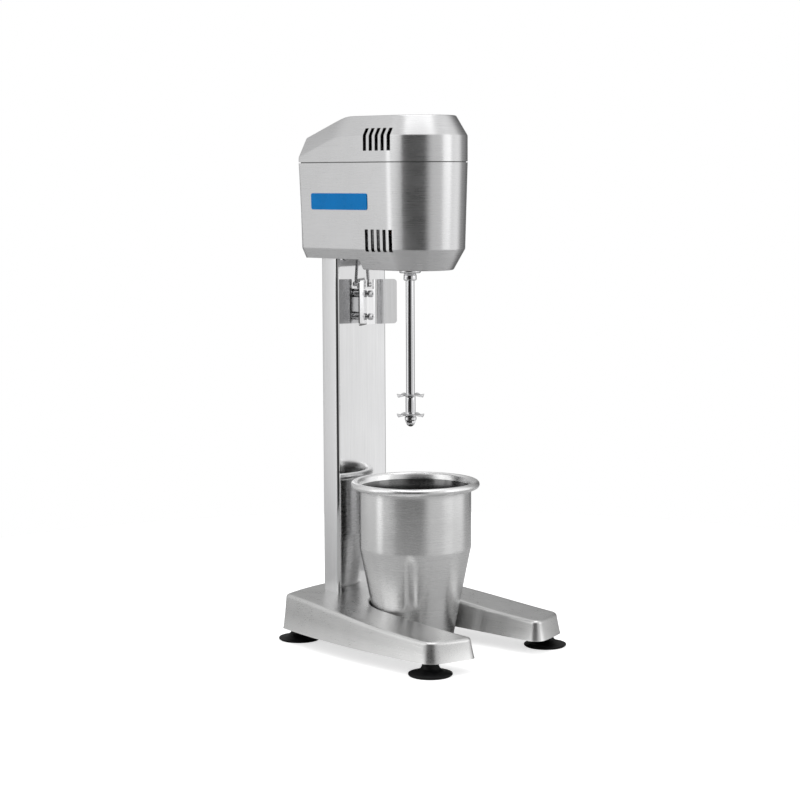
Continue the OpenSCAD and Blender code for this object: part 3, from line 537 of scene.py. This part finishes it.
def hollow(outer, inner):
    """Joins an outer and an inner skin along their first rings."""
    points = outer[0] + inner[0]
    shift = len(outer[0])
    faces = outer[1] + [tuple(i + shift for i in reversed(f)) for f in inner[1]]
    a, b = outer[2][0], inner[2][0]
    for i in range(len(a)):
        j = (i + 1) % len(a)
        faces.append((a[i], b[i] + shift, b[j] + shift, a[j]))
    return points, faces


seam_z, low_crease, head_floor, rear_floor = 443.0, 365.5, 346.5, 356.0
taper, low_bevel = 2.3, 10.6


def lower_inset(z, t):
    if z >= low_crease:
        return t + taper * (seam_z - z) / (seam_z - low_crease)
    return t + taper + low_bevel * (low_crease - z) / (low_crease - head_floor)


def lower_levels(t):
    line = rounded([(t, seam_z, 0), (taper + t, low_crease, 3.0), (lower_inset(head_floor + t, t), head_floor + t, 2.0), (30, head_floor + t, 0)])
    return [(i, z, t + min(taper, taper * (seam_z - z) / (seam_z - low_crease))) for i, z in line]


def lower_skin(t):
    def height(y, level):
        return max(level[1], rear_floor + t) if y > 29 - t else level[1]

    def inset_at(y, level):
        if y > 29 - t and level[1] < rear_floor + t:
            return max(lower_inset(rear_floor + t, t), 0) if level[0] < 30 else level[0]
        return level[0]

    return d_shell(lower_levels(t), height, inset_at)


def slot_cutter(name, low, high):
    """A row of punches: a line of blocks on each side of the head."""
    group = bpy.data.node_groups.new(name, "GeometryNodeTree")
    sizes = {"slots": ("NodeSocketInt", 5), "pitch": ("NodeSocketFloat", 7.36 * MM), "width": ("NodeSocketFloat", 4.0 * MM),
             "tall": ("NodeSocketFloat", (high - low) * MM)}
    names = {}
    for key, (kind, value) in sizes.items():
        names[key] = (group.interface.new_socket(key, in_out="INPUT", socket_type=kind), value)
    metal = group.interface.new_socket("metal", in_out="INPUT", socket_type="NodeSocketMaterial")
    group.interface.new_socket("Geometry", in_out="OUTPUT", socket_type="NodeSocketGeometry")
    entry, leave = group.nodes.new("NodeGroupInput"), group.nodes.new("NodeGroupOutput")
    give = {s.name: Value(group, s) for s in entry.outputs}
    step = node(group, "ShaderNodeCombineXYZ", None, 0.0, give["pitch"] * -1.0, 0.0)
    line = node(group, "GeometryNodeMeshLine", None, Count=give["slots"], Offset=step)
    size = node(group, "ShaderNodeCombineXYZ", None, 0.02, give["width"], give["tall"])
    block = node(group, "GeometryNodeMeshCube", None, size)
    row = node(group, "GeometryNodeInstanceOnPoints", None, Points=line, Instance=block)
    middle = (low + high) / 2 * MM
    left = node(group, "GeometryNodeTransform", None, row, Translation=(-0.041, 13.74 * MM, middle))
    right = node(group, "GeometryNodeTransform", None, row, Translation=(0.041, 13.74 * MM, middle))
    both = group.nodes.new("GeometryNodeJoinGeometry")
    for side in (left, right):
        group.links.new(side.socket, both.inputs[0])
    real = node(group, "GeometryNodeRealizeInstances", None, Value(group, both.outputs[0]))
    done = node(group, "GeometryNodeSetMaterial", None, real, Material=give["metal"])
    group.links.new(done.socket, leave.inputs[0])
    holder = bpy.data.objects.new(name, bpy.data.meshes.new(name))
    scene.collection.objects.link(holder)
    modifier = holder.modifiers.new("punch", "NODES")
    modifier.node_group = group
    for socket, value in names.values():
        modifier[socket.identifier] = value
    modifier[metal.identifier] = head_steel
    bpy.context.view_layer.update()
    made = bpy.data.meshes.new_from_object(holder.evaluated_get(bpy.context.evaluated_depsgraph_get()))
    holder.modifiers.clear()
    holder.data = made
    return holder


def punched(thing, cutter, smooth):
    cut = thing.modifiers.new("slots", "BOOLEAN")
    cut.operation, cut.solver, cut.object = "DIFFERENCE", "EXACT", cutter
    bpy.context.view_layer.update()
    mesh = bpy.data.meshes.new_from_object(thing.evaluated_get(bpy.context.evaluated_depsgraph_get()))
    thing.modifiers.clear()
    thing.data = mesh
    bpy.data.objects.remove(cutter)
    shade_smooth(mesh, smooth)


points, faces = hollow(lower_skin(0.0), lower_skin(shell_t))
lower = piece("lower_shell", points, faces, head_steel, None, smooth=32)
punched(lower, slot_cutter("lower_punch", 363.5, 383.5), 32)
settle(lower, "machine", ["head_lower_shell"])

head_top, top_crease, top_bevel = 485.0, 467.0, 10.5
cover_low = seam_z + 0.9


def fall(y):
    """How far the cover has dropped at y, with a soft fold where the slope begins."""
    past = (y - 48.5) / 3
    soft = 3 * (math.log1p(math.exp(past)) if past < 30 else past)
    return soft * math.tan(math.radians(20.1))


def cover_skin(t):
    def height(y, level):
        drop, z = fall(y), level[1]
        if z >= top_crease - 3:
            return z - drop
        share = (z - cover_low) / (top_crease - 3 - cover_low)
        return z - drop * share

    line = rounded([(t, cover_low, 0), (t, top_crease - 0.27 * t, 3.0), (top_bevel + 0.574 * t, head_top - t, 2.6), (24, head_top - t, 0)])
    return d_shell([(i, z, t) for i, z in line], height, lambda y, level: level[0])


points, faces = hollow(cover_skin(0.0), cover_skin(shell_t))
cover = piece("top_cover", points, faces, head_steel, None, smooth=32)
punched(cover, slot_cutter("upper_punch", 453.5, 473.5), 32)
settle(cover, "machine", ["head_top_cover"])

lip_points, lip_faces, _ = d_shell([(1.5, 436.0, 1.7), (1.5, 448.0, 1.7), (2.6, 448.0, 2.8), (2.6, 436.0, 2.8)], lambda y, level: level[1], lambda y, level: level[0])
lip_faces = [f for f in lip_faces if max(f) - min(f) > 0][: 3 * (len(lip_points) // 4)]
ring_size = len(lip_points) // 4
lip_faces += [(3 * ring_size + i, 3 * ring_size + (i + 1) % ring_size, (i + 1) % ring_size, i) for i in range(ring_size)]
# Painted shade: the lip inside the seam is coloured dark grey (0.30) instead of the shell's steel, so that the seam
# between cover and lower shell shows as a dark line.
shadow_steel = brushed("seam_shadow_lip", (30, 30, 600), (0.30, 0.30, 0.30), 0.6, 0.05)
piece("cover_lip", lip_points, lip_faces, shadow_steel, "machine", slot="brushed_steel")

# ---- Label plate --------------------------------------------------------------------------
# A thin blue enamelled plate with nothing on it, glued to the left side of the head.
enamel, inside, surface = finish_of("blue_enamel", 0.0, (0.0, 0.27, 0.76), 0.40, 0.0)
surface.inputs["Specular IOR Level"].default_value = 0.12
ripple = noise(inside, (60, 60, 60), 3.0)
blue = node(inside, "ShaderNodeValToRGB", {"stops": [(0.3, (0.0, 0.245, 0.700)), (0.7, (0.0, 0.275, 0.780))]}, ripple)
join(inside, surface.inputs["Base Color"], blue)
join(inside, surface.inputs["Roughness"], ranged(ripple, 0.22, 0.34))
join(inside, surface.inputs["Normal"], node(inside, "ShaderNodeBump", None, 0.06, 0.0003, Height=ripple))

# ---- Cup bracket --------------------------------------------------------------------------
# Folded from one strip of stainless sheet: a narrow web, notched at the top for the lever,
# and two wings with rounded corners that hold the wall and the rim of the hung cup.
wing_top, wing_low = 335.7, 294.3
bracket_steel = brushed("bracket_steel", (900, 900, 14), (0.86, 0.86, 0.865), 0.12, 0.03, 0.05)
fold, reach, web_half, bracket_y, sheet = math.radians(28.5), 21.8, 5.3, 50.8, 1.2


def bracket():
    right = [(web_half + s * math.cos(fold), bracket_y - s * math.sin(fold), s) for s in (0.9, 4, 8, 12, 15, 17, 18.5, 19.6, 20.4, 21.0, 21.4, 21.65, reach)]
    web = [(0, bracket_y + 0.0, -1), (4.2, bracket_y, -1), (4.3, bracket_y, 0), (web_half - 0.5, bracket_y - 0.05, 0)]
    half = [(x, y, s) for x, y, s in web] + right
    line = [(-x, y, s) for x, y, s in reversed(half[1:])] + half
    points, faces = [], []
    for i, (x, y, s) in enumerate(line):
        a, b = line[max(i - 1, 0)], line[min(i + 1, len(line) - 1)]
        way = Vector((b[0] - a[0], b[1] - a[1])).normalized()
        off = Vector((-way.y, way.x)) * sheet
        low, high = wing_low, wing_top
        if s < 0:
            high = 326.9
        elif s > reach - 3:
            bite = 3 - math.sqrt(max(0, 9 - (s - reach + 3) ** 2))
            low, high = low + bite, high - bite
        for px, py, pz in ((x, y, low), (x, y, high), (x + off.x, y + off.y, high), (x + off.x, y + off.y, low)):
            points.append((px, py, pz))
    for i in range(len(line) - 1):
        for k in range(4):
            n = (k + 1) % 4
            faces.append((4 * i + k, 4 * i + n, 4 * i + 4 + n, 4 * i + 4 + k))
    end = 4 * (len(line) - 1)
    faces += [(0, 1, 2, 3), (end + 3, end + 2, end + 1, end)]
    return points, faces


points, faces = bracket()
piece("cup_cradle", points, faces, bracket_steel, "machine", ["cup_bracket"], "brushed_steel", smooth=30)

# ---- Spindle and agitator -----------------------------------------------------------------
# A bright stainless shaft below a turned boss and collar. Two thin pressed discs with waved,
# turned-up edges sit at its end, held by a washer and a domed nut.
bright, inside, surface = finish_of("polished_shaft", 1.0, (0.80, 0.80, 0.81), 0.10)
turning = noise(inside, (8, 8, 2600), 3.0)
join(inside, surface.inputs["Roughness"], ranged(turning, 0.07, 0.19))
join(inside, surface.inputs["Base Color"], node(inside, "ShaderNodeVectorMath", {"operation": "SCALE"}, (0.80, 0.80, 0.81), Scale=ranged(turning, 0.93, 1.05)))
join(inside, surface.inputs["Normal"], node(inside, "ShaderNodeBump", None, 0.03, 0.0002, Height=turning))

disc_low, disc_high = 213.2, 231.4
turned("agitator_rod", [(0, 232.4), (4, 232.4), (4, 290), (4, 339.6), (0, 339.6)], bright, "spindle", steps=64,
       replaces=["agitator_shaft"], slot="bright_steel")
turned("spacer_sleeve", rounded([(0, 214.1, 0), (4.6, 214.1, 0.4), (4.6, 230.5, 0.4), (0, 230.5, 0)]), bright, "spindle", steps=64,
       replaces=["disc_spacer"], slot="bright_steel")
turned("drive_collar", rounded([(0, 336.5, 0), (5.2, 336.5, 0.3), (6, 337.5, 0.5), (6, 341.0, 0.5), (5.4, 342.9, 0.5), (0, 342.9, 0)]),
       bright, "spindle", steps=64, replaces=["shaft_collar"], slot="bright_steel")
turned("turned_boss", rounded([(4.7, 343.2, 0), (9.2, 343.2, 0.8), (10, 344.4, 0.6), (10, 346.5, 0.3), (8, 346.5, 0), (8, 357.1, 0), (4.7, 357.1, 0)]),
       bright, "machine", steps=72, replaces=["spindle_boss"], slot="brushed_steel")
turned("end_washer", rounded([(3.1, 208.1, 0), (4.6, 208.1, 0.4), (5.4, 209.1, 0.4), (5.4, 211.5, 0.4), (4.4, 212.2, 0.3), (3.1, 212.2, 0)]),
       bright, "spindle", steps=64, replaces=["agitator_washer"], slot="bright_steel")


def stirring_disc(name, level, turn_by, replaced):
    points, faces = [], []
    radii = [0, 3, 4.6, 6, 7.5, 9, 10.2, 11.2, 12.0, 12.5]
    steps = 120
    for side in (1, -1):
        for r in radii:
            for i in range(steps):
                a = 2 * math.pi * i / steps
                wave = max(0, (r - 5) / 7.5) ** 1.5
                z = 1.15 * wave * math.cos(6 * (a - turn_by)) + side * 0.28
                points.append((r * math.cos(a), r * math.sin(a), level + z))
    rows = len(radii)
    for side in (0, 1):
        for k in range(rows - 1):
            for i in range(steps):
                j = (i + 1) % steps
                a, b = (side * rows + k) * steps, (side * rows + k + 1) * steps
                quad = (a + i, b + i, b + j, a + j)
                faces.append(quad if side == 0 else quad[::-1])
    for i in range(steps):
        j = (i + 1) % steps
        a, b = (rows - 1) * steps, (2 * rows - 1) * steps
        faces.append((a + i, b + i, b + j, a + j))
    piece(name, points, faces, bright, "spindle", [replaced], "bright_steel", smooth=50)


stirring_disc("stirring_disc_upper", disc_high, 0.236, "upper_agitator_disc")
stirring_disc("stirring_disc_lower", disc_low, 0.236, "lower_agitator_disc")

# ---- Mixing cup ---------------------------------------------------------------------------
# Spun from thin stainless steel: straight above, tapered below with shallow pressed flutes
# that break up the whirl, and a rolled rim. It stands loose in the pocket of the base.
cup_steel = brushed("spun_cup", (20, 20, 3600), (0.84, 0.84, 0.84), 0.25, 0.012, 0.04, 0.85)
cup_wall, cup_foot, knee, bead_z, bead_r, bead = 51.3, 33.5, 92.0, 150.0, 55.7, 3.4


def cup_line():
    outside = [(0.0, 0.0), (20, 0.0)] + rounded([(26, 0, 0), (cup_foot, 0, 1.4), (cup_wall, knee, 14), (cup_wall, 143, 0)], steps=8)
    outside = [p for p in outside]
    dense = []
    for (r1, z1), (r2, z2) in zip(outside, outside[1:]):
        parts_of = max(1, int(abs(z2 - z1) / 3))
        dense += [(r1 + (r2 - r1) * k / parts_of, z1 + (z2 - z1) * k / parts_of) for k in range(parts_of)]
    dense.append(outside[-1])
    lip = [(51.4, 145.2), (51.7, 146.8)]
    curl = [(bead_r + bead * math.cos(math.radians(a)), bead_z + bead * math.sin(math.radians(a))) for a in range(205, 430, 15)]
    curl = [(bead_r + bead * math.cos(math.radians(a)), bead_z + bead * math.sin(math.radians(a))) for a in range(230, 231)]
    roll_out = [(bead_r + bead * math.cos(math.radians(a)), bead_z + bead * math.sin(math.radians(a))) for a in range(-130, 166, 12)]
    inner = [(51.7, 147.4), (50.7, 143.0)]
    wall = [(r - 0.8, z) for r, z in reversed(dense) if 2 < z < 142.9]
    return dense + lip + roll_out + inner + wall + [(cup_foot - 2.4, 0.8), (0.0, 0.8)]


def flute(angle, z, r):
    if z > 98 or z < 1.0 or r < 25:
        return 0
    centre_angle = math.radians(38)
    spot = (angle - centre_angle) % (math.pi / 2)
    away = min(spot, math.pi / 2 - spot) * r
    half_wide = 7.2 * min(1, math.sqrt(max(0, (93 - z)) / 9))
    if half_wide <= 0 or away >= half_wide:
        return 0
    t = away / half_wide
    return 2.3 * (1 - t * t) ** 1.5 * min(1, (93 - z) / 8)


# Painted shade: the inner wall and floor of the cup take a dark copy of the cup's steel (0.22 against 0.84), standing
# in for the shade inside the cup.
shaded_cup_inside = brushed("shaded_cup_inside", (20, 20, 3600), (0.22, 0.22, 0.22), 0.20, 0.012, 0.06, 0.80)
# Painted highlight: the rolled rim takes a lighter copy of the cup's steel (0.90 against 0.84), standing in for the
# light caught by the bead.
highlit_rim_steel = brushed("highlit_rolled_rim", (60, 60, 900), (0.90, 0.90, 0.90), 0.26, 0.01, 0.04)
cup = turned("spun_cup", cup_line(), cup_steel, None, (0, cup_y), 288, dent=flute, smooth=50)
cup.data.materials.append(shaded_cup_inside)
cup.data.materials.append(highlit_rim_steel)
for face in cup.data.polygons:
    middle = face.center / MM
    outward = Vector((middle.x, middle.y - cup_y, 0)).dot(face.normal)
    # Faces on the rolled rim take the painted highlight.
    if math.hypot(middle.x, middle.y - cup_y) > 51.6:
        face.material_index = 2
    # Faces on the inside of the cup take the painted shade.
    elif outward < 0 or (face.normal.z > 0.9 and middle.z < 5):
        face.material_index = 1
settle(cup, "cup", ["mixing_cup"])

# ---- Fixings and works --------------------------------------------------------------------
# Screws, lever, switch, motor and wiring pieces, each in the finish of its real material, except the cast motor
# brackets, which are coloured near black as painted shade inside the head, seen through the slots.
screw_steel = brushed("screw_steel", (500, 500, 500), (0.68, 0.68, 0.69), 0.24, 0.06)
plated = brushed("plated_sheet", (300, 300, 300), (0.55, 0.56, 0.57), 0.38, 0.05)


def moulded(name, dark, light, rough):
    material, inside, surface = finish_of(name, 0.0, light, rough)
    grain = noise(inside, (700, 700, 700), 3.0)
    shade = node(inside, "ShaderNodeValToRGB", {"stops": [(0.3, dark), (0.7, light)]}, grain)
    join(inside, surface.inputs["Base Color"], shade)
    join(inside, surface.inputs["Roughness"], ranged(grain, rough - 0.06, rough + 0.08))
    join(inside, surface.inputs["Normal"], node(inside, "ShaderNodeBump", None, 0.10, 0.0002, Height=grain))
    return material


def wound(name, colour, stretch, rough):
    material, inside, surface = finish_of(name, 0.8, colour, rough)
    band = noise(inside, stretch, 2.0)
    join(inside, surface.inputs["Base Color"], node(inside, "ShaderNodeVectorMath", {"operation": "SCALE"}, colour, Scale=ranged(band, 0.6, 1.15)))
    join(inside, surface.inputs["Roughness"], ranged(band, rough - 0.08, rough + 0.1))
    join(inside, surface.inputs["Normal"], node(inside, "ShaderNodeBump", None, 0.3, 0.0004, Height=band))
    return material


black_plastic = moulded("black_moulding", (0.012, 0.012, 0.013), (0.030, 0.030, 0.032), 0.45)
ivory = moulded("ivory_moulding", (0.66, 0.62, 0.50), (0.76, 0.72, 0.60), 0.42)
laminated = wound("laminations", (0.20, 0.21, 0.23), (20, 20, 2200), 0.45)
copper = wound("copper_wire", (0.62, 0.28, 0.13), (300, 300, 1600), 0.35)
# Painted shade: near black for the cast aluminium motor brackets, so that the inside of the head looks dark through
# the slots.
head_interior_shade = moulded("head_interior_shade", (0.015, 0.015, 0.016), (0.035, 0.035, 0.037), 0.5)
by_slot = {
    "cast_aluminium": cast_finish, "black_rubber": rubber, "fastener_steel": screw_steel, "polished_steel": column_metal,
    "brushed_steel": head_steel, "chassis_steel": plated, "blue_label": enamel, "black_plastic": black_plastic,
    "pale_plastic": ivory, "lamination_steel": laminated, "copper_wire": copper, "bright_steel": bright,
}
slots = {entry["node"]: entry["material_slot"] for entry in frame["record"]["subparts"]}
for name, thing in frame["nodes"].items():
    thing.data.materials.clear()
    # The motor brackets take the painted shade instead of their cast aluminium.
    thing.data.materials.append(head_interior_shade if "motor_bracket" in name else by_slot[slots[name]])
